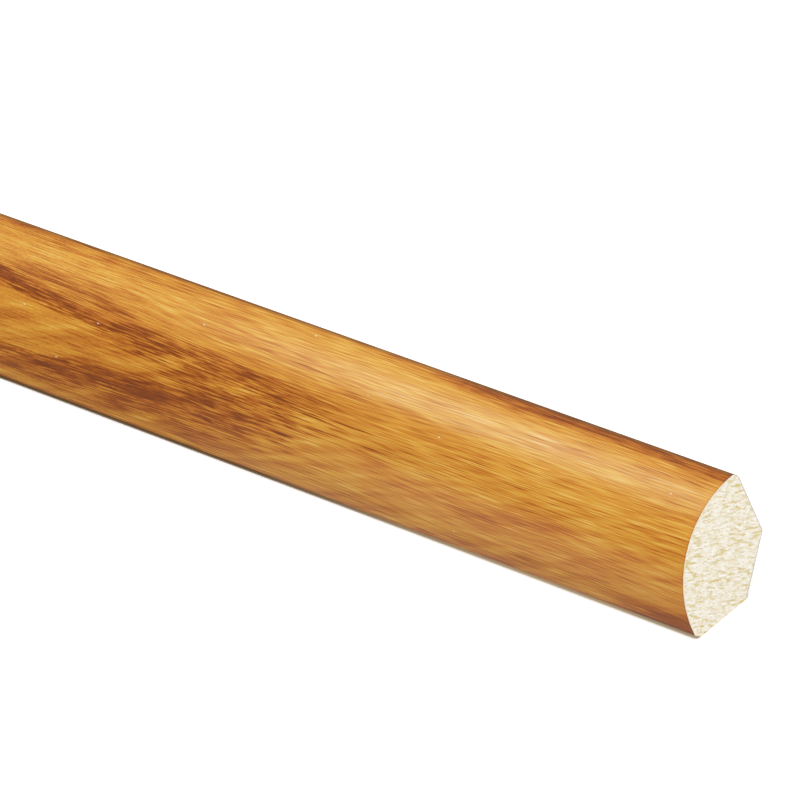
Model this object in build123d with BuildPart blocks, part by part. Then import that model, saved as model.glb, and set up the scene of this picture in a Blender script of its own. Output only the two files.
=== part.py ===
from build123d import *
import os

# Quarter-round moulding in one stock length: a foamed plastic core with a printed wood-grain
# film wrapped over its rounded face.
# It lies on its floor face as it would along the foot of a wall. X runs along the length,
# +Y points at the wall and +Z is up. The origin is under the middle of its bounding box.

# Driving dimensions (mm)
length = 2387.6  # stock length, 94 in
height = 19.05  # floor to top, 3/4 in
depth = 17.9  # wall to toe
toe_rise = 2.0  # floor to the lower end of the rounded face
tip_bevel = 0.85  # 45 degree bevel that blunts the top and the toe
relief_up = 7.75  # back corner cut away, measured up the wall face
relief_out = 7.3  # and out along the floor face
film_thickness = 0.2

# Places in the section, seen along X: across to the wall, then up
wall = depth / 2
toe = -depth / 2
round_centre = (wall - tip_bevel, toe_rise)

sawn_end = Plane.YZ.offset(-length / 2)


def draw_wrapped_side(inset):
    """Draw the side that the film covers, this far inside the film's outer face.

    It runs from the wall over the top's bevel and the rounded face, down to the floor. The
    rounded face is a circle where its two radii agree, as here. The line's ends are returned.
    """
    top = height - inset
    front = toe + inset
    wall_end = (wall, top - tip_bevel)
    floor_end = (front + tip_bevel, 0)
    radius_across = round_centre[0] - front
    radius_up = top - toe_rise
    Line(wall_end, (round_centre[0], top))
    EllipticalCenterArc(round_centre, radius_across, radius_up, start_angle=90, arc_size=90)
    Polyline((front, toe_rise), (front, tip_bevel), floor_end)
    return wall_end, floor_end


# Foamed core: everything inside the film, with its back corner cut away
with BuildPart() as foam_core:
    with BuildSketch(sawn_end):
        with BuildLine():
            wall_end, floor_end = draw_wrapped_side(film_thickness)
            Polyline(floor_end, (wall - relief_out, 0), (wall, relief_up), wall_end)
        make_face()
    extrude(amount=length)
foam_core.part.label = "foam_core"

# Printed film: from flush with the wall face, over the rounded face, to flush with the floor
with BuildPart() as wood_grain_film:
    with BuildSketch(sawn_end):
        with BuildLine():
            outer_ends = draw_wrapped_side(0)
            inner_ends = draw_wrapped_side(film_thickness)
            for outer_end, inner_end in zip(outer_ends, inner_ends):
                Line(outer_end, inner_end)
        make_face()
    extrude(amount=length)
wood_grain_film.part.label = "wood_grain_film"

os.makedirs("parts", exist_ok=True)
export_step(foam_core.part, "parts/foam_core.step")
export_step(wood_grain_film.part, "parts/wood_grain_film.step")
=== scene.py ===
# %% [markdown]
# This lesson dresses one length of quarter-round trim: a foamed plastic core with a printed
# wood-grain film wrapped over its rounded face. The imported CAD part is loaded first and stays
# as it is. It gives the frame, in metres: X runs along the stock, +Y points at the wall, +Z is
# up, and the stock lies on z = 0. Its box is kept, because the finished look must fill the
# same box.

import math

import bmesh
import bpy
from mathutils import Matrix, Vector


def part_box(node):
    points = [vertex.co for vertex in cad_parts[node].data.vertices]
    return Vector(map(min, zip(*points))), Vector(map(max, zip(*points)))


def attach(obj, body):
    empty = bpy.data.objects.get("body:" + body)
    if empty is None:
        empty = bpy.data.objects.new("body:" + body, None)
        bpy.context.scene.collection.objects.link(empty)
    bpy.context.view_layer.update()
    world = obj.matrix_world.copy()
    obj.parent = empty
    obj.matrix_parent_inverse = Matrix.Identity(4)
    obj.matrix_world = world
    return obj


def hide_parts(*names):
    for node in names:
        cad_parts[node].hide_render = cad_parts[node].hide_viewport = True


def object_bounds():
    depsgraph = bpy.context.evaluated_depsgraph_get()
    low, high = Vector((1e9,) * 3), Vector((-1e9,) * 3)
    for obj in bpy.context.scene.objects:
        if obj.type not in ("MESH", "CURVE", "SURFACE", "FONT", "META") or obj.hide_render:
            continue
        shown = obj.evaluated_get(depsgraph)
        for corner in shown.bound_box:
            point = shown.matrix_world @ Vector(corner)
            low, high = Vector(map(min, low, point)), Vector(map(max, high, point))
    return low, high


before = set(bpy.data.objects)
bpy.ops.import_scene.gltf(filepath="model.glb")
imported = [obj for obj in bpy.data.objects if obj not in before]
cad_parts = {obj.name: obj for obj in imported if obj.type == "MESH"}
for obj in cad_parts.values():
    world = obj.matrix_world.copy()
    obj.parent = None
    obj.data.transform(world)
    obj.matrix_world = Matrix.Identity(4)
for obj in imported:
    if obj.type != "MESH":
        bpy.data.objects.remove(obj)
cad_low, cad_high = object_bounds()
print("CAD box, mm:", [round(side * 1000, 3) for side in cad_high - cad_low])

# %% [markdown]
# A moulding is one section pulled along a line, so eight sizes describe it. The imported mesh
# could be kept and given a finish, but it goes round the face in 12 flat facets, its corners
# are knife-sharp, and it has no map for a print to follow. So both layers are drawn again from
# the same sizes, with a finer curve, soft corners and their own maps. Length and depth are
# read from the loaded part.

# %% Sizes of the section
mm = 0.001
height = 19.05 * mm
toe_rise = 2.0 * mm
tip_bevel = 0.85 * mm
relief_up = 7.75 * mm
relief_out = 7.3 * mm
film_thickness = 0.2 * mm
touching = 0.01 * mm

length = cad_high.x - cad_low.x
wall = cad_high.y
toe = cad_low.y
far_end = cad_low.x
near_end = cad_high.x
round_centre = Vector((far_end, wall - tip_bevel, toe_rise))
face_radius = height - toe_rise
core_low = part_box("foam_core")[0]
print("stock length, mm:", round(length / mm, 1), "face radius:", round(face_radius / mm, 2))
print("film outside the core at the toe, mm:", round((core_low.y - toe) / mm, 3))

# %% [markdown]
# Both layers share the line that the film covers: from the wall over a blunt nose, round the
# quarter circle, down a short upright lip and under the toe. In Blender a vertex can be spun
# round an axis, and it leaves a chain of edges behind it, which is how a lathe tool would
# trace the curve. One function draws the line at any distance inside the film's outer face.

# %% Draw the covered side of the section
arc_steps = 48


def draw_wrapped_side(bm, inset):
    """Draw the covered side this far inside the film's face; return its ends and its edges."""
    earlier = set(bm.edges)
    top = height - inset
    front = toe + inset
    wall_end = bm.verts.new((far_end, wall, top - tip_bevel))
    crest = bm.verts.new((far_end, round_centre.y, top))
    bm.edges.new((wall_end, crest))
    turned = bmesh.ops.spin(bm, geom=[crest], cent=round_centre, axis=(1, 0, 0),
                            angle=math.pi / 2, steps=arc_steps, use_merge=False)
    arc_end = turned["geom_last"][0]
    lip = bm.verts.new((far_end, front, tip_bevel))
    floor_end = bm.verts.new((far_end, front + tip_bevel, 0))
    bm.edges.new((arc_end, lip))
    bm.edges.new((lip, floor_end))
    return wall_end, floor_end, [edge for edge in bm.edges if edge not in earlier]


print("degrees between two points of the curve:", 90 / arc_steps)

# %% [markdown]
# The film is 0.2 mm thick, which shows as a pale line round the sawn end. Two lines,
# one on the outer face and one film thickness inside it, are bridged into a ribbon, and the
# ribbon is extruded along the stock. Bridging keeps the film's two long edges flush with the
# wall face and the floor face, which a Solidify would tilt, because it works square to the
# surface.

# %% Bridge and extrude the film
def pull_along(bm):
    """Extrude every face drawn at the far end to the near end, and point all faces outwards."""
    pulled = bmesh.ops.extrude_face_region(bm, geom=bm.faces[:])
    moved = [item for item in pulled["geom"] if isinstance(item, bmesh.types.BMVert)]
    bmesh.ops.translate(bm, verts=moved, vec=(length, 0, 0))
    bmesh.ops.recalc_face_normals(bm, faces=bm.faces)


film = bmesh.new()
outer_line = draw_wrapped_side(film, 0)[2]
inner_line = draw_wrapped_side(film, film_thickness)[2]
bmesh.ops.bridge_loops(film, edges=outer_line + inner_line)
pull_along(film)
print("film faces:", len(film.faces))

# %% [markdown]
# Film bends round a nose, it doesn't fold to a knife edge. The bevel tool rounds the two long
# corners of the outer face, at the crest and at the lip. The same helper finds any lengthwise
# edge by its place in the section, because both of its ends share that place.

# %% Round the film's two long corners
def round_long_corners(bm, corners, radius):
    """Round the lengthwise edges that run through these places, given across and up."""
    edges = []
    for across, up in corners:
        for edge in bm.edges:
            if all(math.hypot(v.co.y - across, v.co.z - up) < touching for v in edge.verts):
                edges.append(edge)
    bmesh.ops.bevel(bm, geom=edges, offset=radius, offset_type="OFFSET", segments=4,
                    profile=0.5, affect="EDGES", material=-1, clamp_overlap=True)
    return len(edges)


film_bend = 0.16 * mm
film_corners = [(round_centre.y, height), (toe, tip_bevel)]
print("long corners rounded on the film:", round_long_corners(film, film_corners, film_bend))

# %% [markdown]
# A texture image is square and the stock is 125 times as long as it is high, so a plain unwrap
# would smear the grain. The stock is cut into nine equal lengths that will lie in rows, one
# above the other, on a second UV map. bisect_plane adds those cuts without moving anything.

# %% Cut the film into nine lengths
rows = 9
row_length = length / rows


def cut_into_rows(bm):
    """Cut the mesh square across at each row's end."""
    for row in range(1, rows):
        everything = bm.verts[:] + bm.edges[:] + bm.faces[:]
        bmesh.ops.bisect_plane(bm, geom=everything, plane_co=(far_end + row * row_length, 0, 0),
                               plane_no=(1, 0, 0))


cut_into_rows(film)
print("film faces after the cuts:", len(film.faces))

# %% [markdown]
# The core is everything inside the film, with its back corner cut away so that the trim sits
# tight in a corner that isn't quite square. The same line is closed by three straight sides,
# filled with one face and pulled along. Extruded plastic leaves the die with slightly soft
# corners, so the two bare ones get a small radius.

# %% Model the foamed core
core = bmesh.new()
wall_end, floor_end, core_line = draw_wrapped_side(core, film_thickness)
under_corner = core.verts.new((far_end, wall - relief_out, 0))
back_corner = core.verts.new((far_end, wall, relief_up))
straight_sides = [
    core.edges.new((floor_end, under_corner)),
    core.edges.new((under_corner, back_corner)),
    core.edges.new((back_corner, wall_end)),
]
bmesh.ops.contextual_create(core, geom=core_line + straight_sides)
pull_along(core)
die_radius = 0.25 * mm
bare_corners = [(wall - relief_out, 0), (wall, relief_up)]
print("long corners rounded on the core:", round_long_corners(core, bare_corners, die_radius))
cut_into_rows(core)
print("core faces:", len(core.faces))

# %% [markdown]
# The print on the film is flat artwork that was laid round the curve, so it needs flat
# coordinates: how far along the stock, and how far down the film from its crest. They go into
# a UV map in millimetres, measured from the near sawn end, and every number in the grain is
# then a size on the real film.

# %% Unroll the film into a sheet map
def down_the_film(across, up):
    """Millimetres down the film from the crest of the round face to this place."""
    if across > round_centre.y:
        return -math.hypot(across - round_centre.y, height - up) / mm
    if up < toe_rise:
        turned_under = max(0, tip_bevel - up) * (math.sqrt(2) - 1)
        return (face_radius * math.pi / 2 + toe_rise - up + turned_under) / mm
    return face_radius * math.atan2(round_centre.y - across, up - toe_rise) / mm


sheet_map = film.loops.layers.uv.new("sheet_mm")
for face in film.faces:
    for corner in face.loops:
        place = corner.vert.co
        corner[sheet_map].uv = ((near_end - place.x) / mm, down_the_film(place.y, place.z))
film_top = down_the_film(wall, height - tip_bevel)
film_bottom = down_the_film(toe + tip_bevel, 0)
print("film girth, mm:", round(film_bottom - film_top, 2))

# %% [markdown]
# Two finishes share the film: the print on its outer face, and bare cream plastic on its back
# and its cut edges. Each face gets one by where it lies. The outer faces are those whose
# normal points away from the middle of the section, without the thin cut edges.

# %% Tell printed faces from cut ones
printed, cut_edge = 0, 1
section_middle = Vector((0, 2 * mm, 7 * mm))


def is_sawn(face):
    """True on a face across the stock, at either end."""
    return abs(face.normal.x) > 0.9


for face in film.faces:
    middle = face.calc_center_median()
    outward = Vector((0, middle.y, middle.z)) - section_middle
    on_long_edge = middle.y > wall - touching or middle.z < touching
    is_print = face.normal.dot(outward) > 0 and not on_long_edge and not is_sawn(face)
    face.material_index = printed if is_print else cut_edge
print("printed faces:", sum(face.material_index == printed for face in film.faces))

# %% [markdown]
# The second map is for baking the finish into pictures. Each of the nine lengths of printed
# film lies in its own row. Everything that is plain cream shares one thin strip above them,
# because it looks the same everywhere.

# %% Lay the film out in rows
map_edge = 0.002
row_pitch = 0.108
row_height = 0.1065
strip_bottom = 0.976
strip_height = 0.02
strip_length = 0.9


def row_of(face):
    """Which of the nine lengths a face belongs to."""
    return min(rows - 1, int((face.calc_center_median().x - far_end) / row_length))


def along_row(x, row):
    """How far along its row a place is on the map."""
    return map_edge + (1 - 2 * map_edge) * (x - far_end - row * row_length) / row_length


film_bake = film.loops.layers.uv.new("OFBake")
for face in film.faces:
    row = row_of(face)
    for corner in face.loops:
        place = corner.vert.co
        share_down = (down_the_film(place.y, place.z) - film_top) / (film_bottom - film_top)
        share_down = min(1, max(0, share_down))
        left = along_row(place.x, row)
        if face.material_index == printed:
            film_uv = (left, map_edge + row * row_pitch + row_height * share_down)
        elif is_sawn(face):
            outer = (place.yz - section_middle.yz).length / height
            film_uv = (map_edge + strip_length * share_down, strip_bottom + strip_height * outer)
        else:
            film_uv = (left, strip_bottom + strip_height * share_down)
        corner[film_bake].uv = film_uv
print("rows on the film's map:", rows)

# %% [markdown]
# The core's map spends its pixels where the eye goes: on the two sawn ends, which carry the
# foam's cells. Its bare back runs in rows below them, and the side that the film hides gets a
# sliver between the two.

# %% Lay the core out
sawn, skin = 0, 1
end_scale = 0.46 / height
end_bottom = 0.52
near_end_left = 0.02
far_end_left = 0.52
skin_top = 0.48
row_gap = 0.02
sliver_bottom = 0.485
sliver_scale = 0.5
facing_wall = 0.3
film_edge_up = height - tip_bevel - film_thickness
wall_run = film_edge_up - relief_up
cut_run = math.hypot(relief_up, relief_out)
back_run = wall_run + cut_run + (wall - relief_out) - (toe + tip_bevel + film_thickness)


def round_the_back(across, up):
    """How far round the bare back a place is, from 0 at the wall face's top to 1 below."""
    if up >= relief_up:
        run = film_edge_up - up
    elif across > wall - relief_out:
        run = wall_run + math.hypot(wall - across, relief_up - up)
    else:
        run = wall_run + cut_run + (wall - relief_out) - across
    return min(1, max(0, run / back_run))


core_bake = core.loops.layers.uv.new("OFBake")
for face in core.faces:
    row = row_of(face)
    middle = face.calc_center_median()
    face.material_index = sawn if is_sawn(face) else skin
    faces_wall = face.normal.y > facing_wall and middle.z < film_edge_up
    bare = middle.z < touching or faces_wall
    for corner in face.loops:
        place = corner.vert.co
        left = along_row(place.x, row)
        if is_sawn(face):
            end_left = near_end_left if middle.x > 0 else far_end_left
            core_uv = (end_left + (place.y - toe) * end_scale, end_bottom + place.z * end_scale)
        elif bare:
            share_down = round_the_back(place.y, place.z)
            filled = row_gap + (1 - 2 * row_gap) * share_down
            core_uv = (left, skin_top * (row + filled) / rows)
        else:
            core_uv = (left, sliver_bottom + sliver_scale * place.z)
        corner[core_bake].uv = core_uv
print("sawn faces on the core:", sum(face.material_index == sawn for face in core.faces))

# %% [markdown]
# Each bmesh becomes an object at the origin, with its place in its mesh, just as the CAD nodes
# are. The curve is shaded smooth, and edges that turn by more than 30 degrees stay crisp. Then
# two calls tie the piece to the part: it rides on the only body, and it stands for its CAD node,
# which is hidden.

# %% Make the two pieces
def make_piece(name, bm, node):
    """Turn a bmesh into a piece that stands for this CAD node."""
    mesh = bpy.data.meshes.new(name)
    bm.to_mesh(mesh)
    bm.free()
    mesh.shade_smooth()
    mesh.set_sharp_from_angle(angle=math.radians(30))
    piece = bpy.data.objects.new(name, mesh)
    bpy.context.scene.collection.objects.link(piece)
    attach(piece, "root")
    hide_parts(node)
    print(name, "has", len(mesh.polygons), "faces")
    return piece


wrapped_film = make_piece("wrapped_film", film, "wood_grain_film")
core_stock = make_piece("core_stock", core, "foam_core")

# %% [markdown]
# A finish is a chain of small sums, and sums read best as sums. This class holds one socket of
# a material. Adding, subtracting, multiplying or dividing wires makes the Math nodes, also
# with a plain number on either side. Every other node comes from node(), which takes its type,
# its settings, and the values or wires for its sockets.

# %% A wire that does sums
def set_stops(ramp, stops):
    """Give a ramp these stops, each a place and a colour or a grey level."""
    ramp.elements.remove(ramp.elements[-1])
    for number, (place, colour) in enumerate(stops):
        stop = ramp.elements[0] if number == 0 else ramp.elements.new(place)
        stop.position = place
        stop.color = colour if isinstance(colour, tuple) else (colour, colour, colour, 1)


def find(sockets, key):
    """A socket by its number, its identifier or its name."""
    if isinstance(key, int):
        return sockets[key]
    return next(socket for socket in sockets if key in (socket.identifier, socket.name))


class Wire:
    """One socket of a material; sums on wires add nodes to the material."""

    def __init__(self, tree, socket=None):
        self.tree = tree
        self.socket = socket

    def plug(self, made, sockets):
        """Set a node's sockets to values, or link wires to them."""
        for key, value in sockets.items():
            if isinstance(value, Wire):
                self.tree.links.new(value.socket, find(made.inputs, key))
            else:
                find(made.inputs, key).default_value = value

    def node(self, kind, settings, sockets, out=0):
        """Add a node of any kind, and return one of its outputs."""
        made = self.tree.nodes.new(kind)
        for name, value in settings.items():
            if name == "stops":
                set_stops(made.color_ramp, value)
            else:
                setattr(made, name, value)
        self.plug(made, sockets)
        return Wire(self.tree, find(made.outputs, out))

    def math(self, operation, *values):
        """Add a Math node."""
        sockets = dict(enumerate(values))
        return self.node("ShaderNodeMath", {"operation": operation}, sockets)

    def __add__(self, other):
        return self.math("ADD", self, other)

    def __radd__(self, other):
        return self.math("ADD", other, self)

    def __sub__(self, other):
        return self.math("SUBTRACT", self, other)

    def __rsub__(self, other):
        return self.math("SUBTRACT", other, self)

    def __mul__(self, other):
        return self.math("MULTIPLY", self, other)

    def __rmul__(self, other):
        return self.math("MULTIPLY", other, self)

    def __truediv__(self, other):
        return self.math("DIVIDE", self, other)

    def __rtruediv__(self, other):
        return self.math("DIVIDE", other, self)


# %% [markdown]
# Masks and colours come up in every finish. rise() is a soft step from 0 to 1, and stripe() is
# two of them back to back. tint() blends two colours by a mask. ink() writes a colour as a
# printer would, from 0 to 255, and turns it into the linear numbers that a shader wants.

# %% Helpers for masks and colours
def rise(wire, low, high):
    """0 below low and 1 above high, with a soft step between; low may be the larger."""
    sockets = {"Value": wire, "From Min": low, "From Max": high}
    return wire.node("ShaderNodeMapRange", {"interpolation_type": "SMOOTHSTEP"}, sockets)


def stripe(wire, low, low_full, high_full, high):
    """1 from low_full to high_full, and 0 below low and above high, with soft edges."""
    return rise(wire, low, low_full) * rise(wire, high, high_full)


def tint(mask, below, above):
    """Blend from one colour to another where the mask rises from 0 to 1."""
    sockets = {"Factor": mask, "A_Color": below, "B_Color": above}
    return mask.node("ShaderNodeMix", {"data_type": "RGBA"}, sockets, "Result_Color")


def ink(red, green, blue):
    """A colour given as it looks on screen, from 0 to 255, as linear numbers."""
    linear = []
    for level in (red / 255, green / 255, blue / 255):
        linear.append(level / 12.92 if level <= 0.04045 else ((level + 0.055) / 1.055) ** 2.4)
    return (*linear, 1)


print("middle grey in linear numbers:", round(ink(128, 128, 128)[0], 3))

# %% [markdown]
# A pattern starts from a place on the piece. relaid() moves, turns or scales that place, and
# noise() drawn on a scaled place is drawn out with it. marks() does both on the flat film, so
# fibres, dashes and clouds come from one helper and differ mostly by their two sizes. Its
# shift takes each from another part of the noise, so that no two match. bumped() turns a
# pattern into a slight relief.

# %% Helpers for places and patterns
def own_place(start):
    """The place on the piece itself, in metres."""
    return start.node("ShaderNodeTexCoord", {}, {}, "Object")


def side_of(place, letter):
    """One number of a place: X, Y or Z."""
    return place.node("ShaderNodeSeparateXYZ", {}, {"Vector": place}, letter)


def relaid(place, **changes):
    """The place after a Mapping node's Location, Rotation or Scale."""
    return place.node("ShaderNodeMapping", {"vector_type": "POINT"}, {"Vector": place, **changes})


def noise(place, dimensions, detail, roughness=0.5):
    """Soft noise that wavers about 0.5."""
    sockets = {"Vector": place, "Scale": 1.0, "Detail": detail, "Roughness": roughness}
    return place.node("ShaderNodeTexNoise", {"noise_dimensions": dimensions}, sockets)


def marks(place, long, wide, detail, shift):
    """Noise whose marks are about this long along the stock and this wide, in millimetres."""
    stretched = relaid(place, Location=(shift, 0.7 * shift, 0), Scale=(1 / long, 1 / wide, 1))
    return noise(stretched, "2D", detail, 0.55)


def bumped(pattern, strength, deep):
    """A normal that rises and falls with a pattern, by up to this many metres."""
    sockets = {"Strength": strength, "Distance": deep, "Height": pattern}
    return pattern.node("ShaderNodeBump", {}, sockets)


def new_finish(piece, name):
    """Give a piece a new material; return a wire to start from and its shader."""
    material = bpy.data.materials.new(name)
    material.use_nodes = True
    piece.data.materials.append(material)
    print("new finish:", name)
    return Wire(material.node_tree), material.node_tree.nodes["Principled BSDF"]


def count_nodes(finish, start):
    """Print how many nodes a finish has by now."""
    print("nodes in the", finish, "by now:", len(start.tree.nodes))


# %% [markdown]
# The artwork copies a board sawn lengthwise from a trunk. It could be a picture of a board,
# but a picture blurs close up and repeats. A few noises and some sums stay sharp at any size,
# and each part of the grain can be moved by itself.
#
# Growth rings are tubes round the tree's heart, and the saw cuts them at a shallow slope, so
# they come out as long arches, one in another, that end in a tip. Printers repeat such a flame
# along the roll. Here the sheet is divided into equal stretches with one flame each. Chance
# moves each flame and turns some of them about, apart from the first, which lies where the
# photograph shows it.

# %% One flame in each stretch of the roll
start, print_shader = new_finish(wrapped_film, "wood_grain_print")
sheet = start.node("ShaderNodeUVMap", {"uv_map": "sheet_mm"}, {})
along = side_of(sheet, "X")
down = side_of(sheet, "Y")

first_stretch = 60.0
stretch_length = 330.0
stretch = along.math("FLOOR", (along - first_stretch) / stretch_length)
inside = along - first_stretch - stretch * stretch_length
moved = stretch.math("MINIMUM", stretch.math("ABSOLUTE", stretch), 1.0)
chance = stretch.node("ShaderNodeTexWhiteNoise", {"noise_dimensions": "1D"}, {"W": stretch})
turned = moved * chance.math("GREATER_THAN", chance, 0.5)
behind = inside + turned * (stretch_length - 2 * inside)
print("stretches along the stock:", round(length / mm / stretch_length, 1))

# %% [markdown]
# Each flame comes up over the first centimetres of its stretch and dies away before the next
# one starts. Several things change with it, some sooner than others, so there are four masks
# with the same tail. near_tip narrows the pale wood beside the flame, heartwood darkens and
# dulls the ground, in_flame spreads the fibres, and flame_tail ends the flame itself.

# %% Where a flame comes up and dies away
tail_start = 200.0
tail_end = stretch_length - 15
flame_tail = rise(behind, tail_end, tail_start)
near_tip = stripe(behind, 0, 55, tail_start, tail_end)
heartwood = stripe(behind, 40, 90, tail_start, tail_end)
in_flame = stripe(behind, 30, 130, tail_start, tail_end)
print("a flame's tail fades over, mm:", tail_end - tail_start)

# %% [markdown]
# A printed edge is never clean, because the dark wood ends fibre by fibre. Before the flame's
# shape is asked where a point lies, the point is pushed along the grain by a noise that
# changes from one fibre to the next. Every edge then breaks into long fingers. A wider noise
# lets the whole flame swell a little up and down, and flames after the first lie a few
# millimetres higher or lower on the face.

# %% Break up the edges along the fibres
flame_fingers = 50.0
wedge_fingers = 26.0
streak_fingers = 30.0
swell_depth = 3.2
drift = 6.0
fingers = marks(sheet, 22, 0.7, 3, 5.0) - 0.5
swell = marks(sheet, 45, 5.0, 2, 27.0) - 0.5
flame_along = behind + fingers * flame_fingers
wedge_along = behind + fingers * wedge_fingers
shifted = down + moved * (chance - 0.5) * drift
flame_down = shifted + swell * swell_depth
print("longest fingers, mm:", flame_fingers)

# %% [markdown]
# Behind its tip the flame opens round a plain wedge, where the next ring is pale again. The
# wedge's edge is a parabola, and past_wedge says how many millimetres a point lies inside it.
# The wood is darkest just outside the wedge and fades slowly away from it, so a ramp turns
# that distance into darkness. The ramp starts dark_reach outside the edge, and has let the
# dark go by the time it is a few millimetres inside.

# %% The plain wedge and the dark wood round it
wedge_tip = 70.0
wedge_bend = 0.45
flame_middle = 16.2
off_wedge = flame_down - flame_middle
past_wedge = (wedge_along - wedge_tip) - off_wedge * off_wedge * (1 / wedge_bend)
dark_reach = 120
ramp_length = 150
wedge_stops = [(0.0, 0.62), (0.3, 0.70), (0.45, 0.92), (0.58, 1.0), (0.76, 1.0), (0.84, 0.35),
               (0.9, 0.08), (1.0, 0.0)]
dark_side = past_wedge.node("ShaderNodeValToRGB", {"stops": wedge_stops},
                            {0: (past_wedge + dark_reach) * (1 / ramp_length)})
print("the wedge starts this far from the sawn end, mm:", first_stretch + wedge_tip)

# %% [markdown]
# Two soft edges close the flame: a nearly straight one above, and one below that falls away
# steeply behind the tip. Each is a place down the face that changes with the distance along
# the flame, and a soft step there makes the mask.

# %% The flame's outer edges
flame_tip = 29.0
tip_softness = 9
upper_slope = 0.02
lower_drop = 11.6
upper_edge = 11.9 - flame_along * upper_slope
lower_edge = 14.8 + lower_drop * rise(flame_along, 28, 60)
flame = (dark_side * rise(flame_down - upper_edge, -0.9, 0.9)
         * rise(lower_edge - flame_down, -1.2, 1.6)
         * rise(flame_along, flame_tip - tip_softness, flame_tip + tip_softness)
         * flame_tail)
print("the flame starts this far from the sawn end, mm:", first_stretch + flame_tip)

# %% [markdown]
# One narrow dark streak runs along the wedge's upper side, at the bend of the outermost ring.
# Its middle follows a slight curve, and a point belongs to it by its distance from that
# middle.

# %% The upper streak
streak_start = 70.0
streak_half_width = 1.25
past_start = behind - streak_start
streak_place = 12.6 - past_start * 0.03 - past_start * past_start * 0.0006
off_streak = past_start.math("ABSOLUTE", shifted + swell * 1.5 - streak_place)
streak = (rise(off_streak, streak_half_width, 0.35)
          * rise(behind + fingers * streak_fingers, 52, 66) * rise(behind, 160, 135))
print("the streak's width, mm:", 2 * streak_half_width)

# %% [markdown]
# The fibres don't run dead straight. They wander a little everywhere, and behind the tip of a
# flame they spread, as water does round a stone. The sheet's own place is bent by both, and
# all the fine marks are drawn on the bent sheet.

# %% Let the fibres flow
spread_amount = 0.3
wander_width = 1.6
from_middle = down - flame_middle
beside = down.math("ABSOLUTE", from_middle)
spread = from_middle * in_flame * rise(beside, 13, 6)
wander = (marks(sheet, 90, 16, 1, 91.0) - 0.5) * wander_width
flowing = down - spread * spread_amount + wander
grain = flowing.node("ShaderNodeCombineXYZ", {}, {"X": along, "Y": flowing})
count_nodes("print", start)

# %% [markdown]
# Close up, wood is all fibres and pores. Marks of several sizes are laid over each other, from
# clouds as long as a finger to hairs a tenth of a millimetre wide. A fine grit, little drawn
# out, is kept to the flame's stretch, where the photograph's plain wedge looks sandy.

# %% Fibres, lines and dashes
cloud = marks(grain, 60, 4.0, 2, 11.0) - 0.5
band = marks(grain, 34, 1.1, 1, 13.0) - 0.5
fibre = marks(grain, 15, 0.27, 3, 3.0) - 0.5
hair = marks(grain, 9, 0.13, 1, 7.0) - 0.5
grit = marks(sheet, 1.1, 0.24, 1, 97.0) - 0.5
dark_line = rise(marks(grain, 12, 0.15, 1, 31.0), 0.56, 0.70)
pale_line = rise(marks(grain, 17, 0.15, 1, 37.0), 0.58, 0.72)
dash = rise(marks(grain, 5, 0.34, 2, 19.0), 0.42, 0.60)
patch = rise(marks(grain, 15, 1.9, 2, 29.0), 0.38, 0.62)
count_nodes("print", start)

# %% [markdown]
# The dark flame isn't a solid band: it is many short brown dashes side by side, in patches.
# The streak is added with MAXIMUM, so that where the two meet the wood isn't darkened twice.
# Inside the wedge the wood is calm, with fainter fibres than elsewhere.

# %% Brown dashes and the calm wedge
low_fade = 1 - 0.12 * rise(down, 21.5, 24.5)
blotchy = flame * (0.27 + 0.45 * dash + 0.30 * patch) * low_fade
brown = blotchy.math("MAXIMUM", blotchy, streak * (0.5 + 0.4 * dash))
calm = rise(past_wedge, -3, 8) * in_flame * rise(down, 25.5, 22.0) * (1 - streak)
count_nodes("print", start)

# %% [markdown]
# Dark edges frame this stretch of film. A band along the crest comes and goes, and near the
# sawn end it is at its darkest. The crest's own corner is always dark, which is painted shade
# where the face turns away at its edge. The low side darkens slowly and the lip quickly: that
# is painted shade where the face turns down from the light. Within 24 mm of the sawn end the
# toe is darker too, and the saw has browned the last 0.4 mm.

# %% Dark crest, painted shade on the crest's corner, low side and lip, and sawn rim
crest_level = marks(sheet, 150, 40, 1, 43.0) + rise(along, 95, 60) * 0.4
crest_waver = (marks(sheet, 12, 0.9, 2, 47.0) - 0.5) * 2.4
crest_band = rise(down + crest_waver, 2.5, 0.9)
# painted shade: the crest's corner is darkened where the face turns away at its edge
painted_crest_shade = rise(down, 0.7, 0.0)
crest = crest_band * rise(crest_level, 0.5, 0.8) * (0.8 + 0.35 * dash)
crest = crest.math("MAXIMUM", crest, painted_crest_shade * 0.5)
near_toe = rise(along, 24, 8) * rise(down + (hair + fibre) * 3, 24.0, 25.6)
# painted shade: darker towards the toe, where the face turns down from the light
painted_low_shade = rise(down, 12, 26)
# painted shade: the lip is darkened where it faces down
lip = rise(down, 27.1, 27.9)
sawn_rim = rise(along, 0.4, 0.05)
count_nodes("print", start)

# %% [markdown]
# Rings that the saw only grazed show as faint slanting lines low on the face: marks again, on
# a sheet turned by a few degrees. Above the flame lie a few brown strokes, from the ring
# outside it.

# %% Ring lines and strokes
ring_slope = 0.23
slanted = relaid(sheet, Rotation=(0, 0, -math.atan(ring_slope)))
ring_lines = (marks(slanted, 42, 2.0, 2, 58.0) - 0.5) * rise(down, 9, 16)
stroke_place = stripe(behind, 70, 100, 200, 300) * stripe(down, 4.8, 7.0, 9.0, 10.8)
strokes = rise(marks(grain, 20, 0.8, 3, 61.0), 0.43, 0.58) * stroke_place
print("ring lines slant by, degrees:", round(math.degrees(math.atan(ring_slope)), 1))
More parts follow.
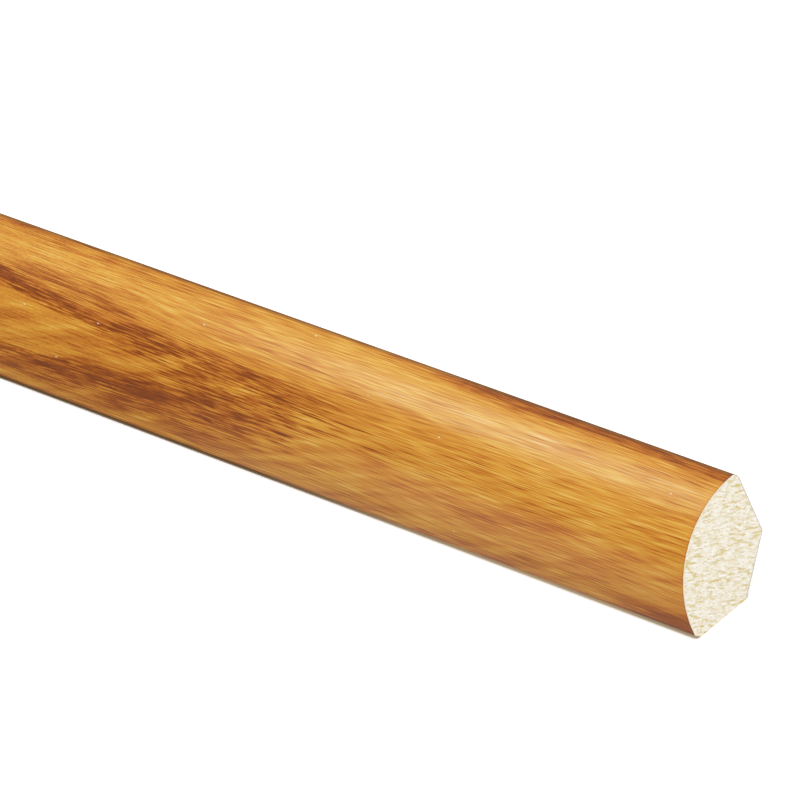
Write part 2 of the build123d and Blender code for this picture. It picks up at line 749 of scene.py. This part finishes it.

# %% [markdown]
# Pale sapwood lies between the crest and the flame. It is wider and paler ahead of the tip,
# where no flame lies beside it; its cream part is partly print and partly a painted highlight,
# where the round face mirrors the gloss softbox. A second pale band follows the top of the lip
# under the flame, and it is a painted reflection of the white floor. Low on the face, ahead of
# the tip, the print has a slight pink haze.

# %% Pale bands, painted highlight and reflection, and haze
upper_band = rise(down, 2.6, 4.6) * rise(down + 2.0 * near_tip, 9.2, 6.8)
# partly painted highlight: the cream band where the round face mirrors the gloss softbox
pale_band_and_sheen = stripe(down, 3.1, 5.4, 7.0, 9.6) * (1 - near_tip)
# painted reflection: the white floor mirrored low on the face, above the lip
floor_reflection_band = stripe(down, 25.6, 26.4, 27.1, 27.6) * rise(behind, 55, 80) * in_flame
low_haze = stripe(down, 15, 19, 23.0, 25.0) * (1 - near_tip)
count_nodes("print", start)

# %% [markdown]
# Here and there the print missed a spot smaller than a pinhead. A Voronoi texture gives every
# cell of the sheet one point and one random colour. The colour picks about one cell in eighty,
# and the distance to its point draws the fleck.

# %% Bare flecks
fleck_cells = relaid(sheet, Location=(5.3, 2.1, 0), Scale=(0.2, 0.5, 1))
spot = {"Vector": fleck_cells, "Scale": 1.0}
spot_distance = sheet.node("ShaderNodeTexVoronoi", {"voronoi_dimensions": "2D"}, spot, "Distance")
spot_colour = sheet.node("ShaderNodeTexVoronoi", {"voronoi_dimensions": "2D"}, spot, "Color")
spot_chance = sheet.node("ShaderNodeSeparateColor", {}, {"Color": spot_colour}, "Red")
bare_fleck = rise(spot_distance, 0.075, 0.035) * rise(spot_chance, 0.987, 0.989)
count_nodes("print", start)

# %% [markdown]
# All of that meets in one tone, from dark to pale. Fine marks make its texture, fainter in the
# calm wedge and stronger in the brown, and the dark and pale shapes move it up or down. Each
# number is the weight of one thing, so the whole balance of the print can be read and changed
# here.

# %% Mix the tone
lines = pale_line * 0.13 - dark_line * 0.20
fine = (fibre * 0.68 + hair * 1.0 + lines) * (1 - 0.45 * calm + 0.2 * brown)
fine = fine + grit * 0.3 * in_flame
texture = cloud * 0.45 + band * 0.25 + fine + ring_lines * 0.6
# the darkening holds painted shade too: the crest's corner through crest, the low side and the
# lip
darkening = (brown * 0.52 + crest * 0.48 + strokes * 0.26 + painted_low_shade * 0.09 + near_toe * 0.4
             + heartwood * rise(down, 6, 10) * 0.05 + sawn_rim * 0.2 + lip * 0.16)
paling = upper_band * 0.07 + pale_band_and_sheen * 0.05 + floor_reflection_band * 0.2
plain_tone = 0.715
tone = plain_tone + texture + paling - darkening
count_nodes("print", start)

# %% [markdown]
# A ramp of eight inks turns the tone into wood. The inks get redder as they get darker, as a
# stain does where it soaks in. Four thin tints go over it for what isn't in the ramp: cream on
# the pale band, which is partly a painted highlight, the haze, a painted grey-brown shade on the
# crest's corner, and the bare flecks.

# %% Ink the wood
inks = [
    (0.00, ink(124, 57, 0)),
    (0.15, ink(144, 69, 2)),
    (0.30, ink(167, 87, 9)),
    (0.45, ink(189, 109, 28)),
    (0.60, ink(208, 134, 42)),
    (0.75, ink(217, 151, 49)),
    (0.90, ink(225, 171, 66)),
    (1.00, ink(234, 188, 92)),
]
wood = tone.node("ShaderNodeValToRGB", {"stops": inks}, {0: tone})
# the cream tint on the pale band is partly a painted highlight
wood = tint(pale_band_and_sheen * (0.12 + 0.6 * pale_line), wood, ink(240, 210, 150))
wood = tint(low_haze * 0.13, wood, ink(220, 150, 124))
# painted shade: a grey brown over the crest's corner
wood = tint(painted_crest_shade * 0.55, wood, ink(92, 76, 48))
wood = tint(bare_fleck * 0.8, wood, ink(240, 222, 186))
print("inks:", len(inks))

# %% [markdown]
# The film is embossed with a fine grain and has a satin lacquer, so a soft light breaks into
# streaks on it. The same fibres lift the surface by a few hundredths of a millimetre through a
# Bump node. The darker wood is a little duller, and the crest's corner is worn nearly matt.

# %% Satin and emboss
satin = 0.37
emboss = fibre * 0.8 + hair * 0.2 + 0.5
embossed = bumped(emboss, 0.5, 0.03 * mm)
roughness = satin + heartwood * 0.18 + cloud * 0.1 + rise(down, 0.3, 0.0) * 0.4
print_shader.inputs["Specular IOR Level"].default_value = 0.10
start.plug(print_shader, {"Base Color": wood, "Roughness": roughness, "Normal": embossed})
count_nodes("print", start)

# %% [markdown]
# Where the film is cut, its own cream plastic shows, a little duller than the print. A fine
# mottle keeps it from being one flat colour.

# %% Cut edge of the film
edge_start, edge_shader = new_finish(wrapped_film, "film_cut_edge")
mottle_size = 0.4 * mm
mottle_place = relaid(own_place(edge_start), Scale=(1 / mottle_size,) * 3)
mottle = noise(mottle_place, "3D", 2.0)
cream = tint(rise(mottle, 0.35, 0.65), ink(232, 216, 184), ink(246, 238, 220))
edge_start.plug(edge_shader, {"Base Color": cream, "Roughness": 0.6 + mottle * 0.1})
count_nodes("cut edge", edge_start)

# %% [markdown]
# A saw opens the foam's cells. They show as small tan dashes on an off-white ground, all
# leaning the way the blade went. They could be cut into the mesh, but there are thousands and
# each is under half a millimetre wide, so a noise does it. The place is turned to the blade's
# path first, and a noise drawn out along that path then gives marks that lean with it.

# %% The blade's path over the sawn end
end_start, end_shader = new_finish(core_stock, "foam_sawn_end")
end_place = own_place(end_start)
blade_lean = math.radians(32)
cell_depth = 2 * mm
blade_place = relaid(end_place, Rotation=(blade_lean, 0, 0))


def cells(long, wide, detail, shift):
    """Noise drawn out along the blade's path, in metres."""
    drawn = relaid(blade_place, Location=(shift, shift, 0),
                   Scale=(1 / cell_depth, 1 / long, 1 / wide))
    return noise(drawn, "3D", detail, 0.6)


print("the blade leaned by, degrees:", round(math.degrees(blade_lean)))

# %% [markdown]
# Four sizes of marks make the foam: a faint weave all over, tan dashes, the places where they
# crowd together, and a few small darker specks. The dashes also sink through a Bump node,
# because they are open cells.

# %% Foam with opened cells
weave = rise(cells(1.1 * mm, 0.34 * mm, 3.0, 14.0), 0.37, 0.62)
fleck = rise(cells(1.6 * mm, 0.5 * mm, 2.0, 5.0), 0.51, 0.62)
crowd = rise(cells(4 * mm, 3 * mm, 1.0, 9.0), 0.35, 0.65)
speck = rise(cells(0.6 * mm, 0.3 * mm, 1.0, 2.0), 0.58, 0.70)
foam = tint(weave, ink(253, 249, 242), ink(240, 230, 204))
foam = tint(fleck * (0.35 + 0.65 * crowd), foam, ink(222, 203, 138))
foam = tint(speck * 0.55, foam, ink(212, 180, 100))
pits = bumped(1 - fleck, 0.5, 0.1 * mm)
count_nodes("sawn end", end_start)

# %% [markdown]
# Along the bare back the sawn end has a thin grey rim, a painted shade along its back edges.
# It is drawn by the distance to the back, the smaller of two: to the wall face, and to the
# slanting cut.

# %% Painted grey shade along the back
from_wall = wall - side_of(end_place, "Y")
end_up = side_of(end_place, "Z")
from_cut = ((relief_up - end_up) * relief_out - from_wall * relief_up) * (-1 / cut_run)
from_back = from_wall.math("MINIMUM", from_wall, from_cut)
shade_rim_width = 0.3 * mm
# painted shade: a thin grey rim along the sawn end's back edges
foam = tint(rise(from_back, shade_rim_width, 0.1 * mm) * 0.8, foam, ink(196, 194, 186))
end_start.plug(end_shader, {"Base Color": foam, "Roughness": 0.75 + fleck * 0.1, "Normal": pits})
count_nodes("sawn end", end_start)

# %% [markdown]
# The bare back left the die smooth: off-white, a little glossy, with faint lines along the
# stock where the die dragged and a few dull scuffs from handling. Both are noises drawn out
# along X, the lines far more than the scuffs.

# %% Bare skin of the core
skin_start, skin_shader = new_finish(core_stock, "foam_skin")
skin_place = own_place(skin_start)
die_lines = noise(relaid(skin_place, Scale=(6.0, 2600.0, 2600.0)), "3D", 3.0)
scuffs = rise(noise(relaid(skin_place, Scale=(22.0, 160.0, 160.0)), "3D", 5.0), 0.5, 0.75)
bare_skin = tint(die_lines, ink(240, 234, 220), ink(246, 242, 232))
bare_skin = tint(scuffs * 0.5, bare_skin, ink(222, 212, 190))
drag = bumped(die_lines, 0.3, 0.03 * mm)
skin_start.plug(skin_shader, {"Base Color": bare_skin, "Roughness": 0.5 + scuffs * 0.2,
                              "Normal": drag})
count_nodes("bare skin", skin_start)

# %% [markdown]
# The photograph is a cut-out on white. The floor is a plain pale sheet that takes the trim's
# shadow. It is one big grid face.

# %% Pale floor
floor_size = 60
floor_mesh = bpy.data.meshes.new("studio_floor")
floor_bm = bmesh.new()
bmesh.ops.create_grid(floor_bm, x_segments=1, y_segments=1, size=floor_size)
floor_bm.to_mesh(floor_mesh)
floor_bm.free()
studio_floor = bpy.data.objects.new("studio_floor", floor_mesh)
bpy.context.scene.collection.objects.link(studio_floor)

floor_start, floor_shader = new_finish(studio_floor, "floor_paper")
floor_shader.inputs["Roughness"].default_value = 0.9
floor_shader.inputs["Specular IOR Level"].default_value = 0.0
print("floor, metres across:", 2 * floor_size)

# %% [markdown]
# Of the trim's shadow the photograph keeps only a dark line under the toe. It could be a
# painted strip, but an Ambient Occlusion node finds it by itself: it measures how much of the
# sky a spot on the floor sees within a short reach. The line shows in front of the toe alone,
# and it is paler and warmer towards the sawn end, where more light gets round.

# %% Contact line under the toe
black, white = (0, 0, 0, 1), (1, 1, 1, 1)
reach = 1.2 * mm
openness = floor_start.node("ShaderNodeAmbientOcclusion", {"samples": 16}, {"Distance": reach},
                            "AO")
floor_place = own_place(floor_start)
behind_toe = rise(side_of(floor_place, "Y"), 0.0, 4 * mm)
end_light = rise(side_of(floor_place, "X"), near_end - 125 * mm, near_end - 40 * mm)
clear = openness.math("MAXIMUM", rise(openness, 0.46, 0.58), behind_toe)
under_toe = tint(end_light, (0.31, 0.24, 0.12, 1), (0.62, 0.55, 0.35, 1))
under_glow = tint(end_light, black, (0.43, 0.33, 0.22, 1))
print("the contact line's reach, mm:", reach / mm)

# %% [markdown]
# A camera needs the floor white, and the trim needs it pale, so that it doesn't throw too much
# light back. Light Path tells the two apart. What is seen directly, or in a gloss or through
# glass, is white paper that glows a little; all other light meets a plain grey one.

# %% White to the camera, pale to the trim
def seen_directly(start):
    """1 for the camera and for what shows in a gloss or through glass, and 0 for other light."""
    camera = start.node("ShaderNodeLightPath", {}, {}, "Is Camera Ray")
    gloss = start.node("ShaderNodeLightPath", {}, {}, "Is Glossy Ray")
    glass = start.node("ShaderNodeLightPath", {}, {}, "Is Transmission Ray")
    return camera.math("MINIMUM", camera + gloss + glass, 1.0)


seen = seen_directly(floor_start)
grey_paper = (0.45, 0.45, 0.45, 1)
paper = tint(seen, grey_paper, tint(clear, under_toe, white))
glow = tint(seen, black, tint(clear, under_glow, white))
floor_shader.inputs["Emission Strength"].default_value = 0.35
floor_start.plug(floor_shader, {"Base Color": paper, "Emission Color": glow})
count_nodes("floor", floor_start)

# %% [markdown]
# The world is the room's even light. The camera sees it as white, at a strength of 1, and as
# light on the trim it is a softer grey, which leaves the shadows some depth.

# %% White room
room = bpy.data.worlds.new("white_room")
room.use_nodes = True
bpy.context.scene.world = room
room_start = Wire(room.node_tree)
room_light = 0.77
grey = (room_light, room_light, room_light, 1)
room_colour = tint(seen_directly(room_start), grey, white)
room_start.plug(room.node_tree.nodes["Background"], {"Color": room_colour, "Strength": 1.0})
print("the room's light on the trim:", room_light)

# %% [markdown]
# Two softboxes light the trim from far enough away to be even over the length in view. One
# stands off the near end and lights the sawn face. The other hangs over the far end, low
# enough to be mirrored in the upper part of the round face, and that makes the long pale
# highlight. Each is given the share of white that it adds to a surface facing it, and its
# power is worked out from that.

# %% Softboxes
near_part = Vector((1.1, 0, 0))


def softbox(name, towards, distance, side, share):
    """A square lamp in this direction, adding this share of white to what faces it."""
    direction = Vector(towards).normalized()
    light = bpy.data.lights.new(name, "AREA")
    light.shape = "SQUARE"
    light.size = side
    light.energy = share * (math.pi * distance) ** 2
    lamp = bpy.data.objects.new(name, light)
    lamp.location = near_part + direction * distance
    lamp.rotation_mode = "QUATERNION"
    lamp.rotation_quaternion = direction.to_track_quat("Z", "Y")
    bpy.context.scene.collection.objects.link(lamp)
    print(name, "power:", round(light.energy))


softbox("end_softbox", (0.95, -0.1, 0.3), 9.0, 4.0, 0.40)
softbox("gloss_softbox", (-0.772, -0.017, 0.636), 9.0, 2.6, 0.24)

# %% [markdown]
# The camera stands where the photographer's did, which was worked out from the sawn end's
# corners and the two long outlines: low over the near end, far off with a very long lens, and
# turned about its own axis, so that the trim falls away to the left.

# %% Camera
aim = Vector((1.1048, 0.00774, 0.00914))
azimuth = math.radians(63.044)
elevation = math.radians(29.999)
roll = math.radians(24.676)
distance = 1.7798
back = Vector((math.sin(azimuth) * math.cos(elevation),
               -math.cos(azimuth) * math.cos(elevation),
               math.sin(elevation)))
level_right = Vector((0, 0, 1)).cross(back).normalized()
level_up = back.cross(level_right)
right = level_right * math.cos(roll) - level_up * math.sin(roll)
up = level_up * math.cos(roll) + level_right * math.sin(roll)
lens = bpy.data.cameras.new("long_lens")
lens.lens = 512.28
lens.sensor_width = 36
lens.clip_start = 0.1
lens.clip_end = 100
camera = bpy.data.objects.new("camera", lens)
turn = Matrix((right, up, back)).transposed().to_4x4()
camera.matrix_world = Matrix.Translation(aim + back * distance) @ turn
bpy.context.scene.collection.objects.link(camera)
bpy.context.scene.camera = camera
bpy.context.scene.view_settings.view_transform = "Standard"
print("camera at:", [round(part, 4) for part in camera.matrix_world.translation])
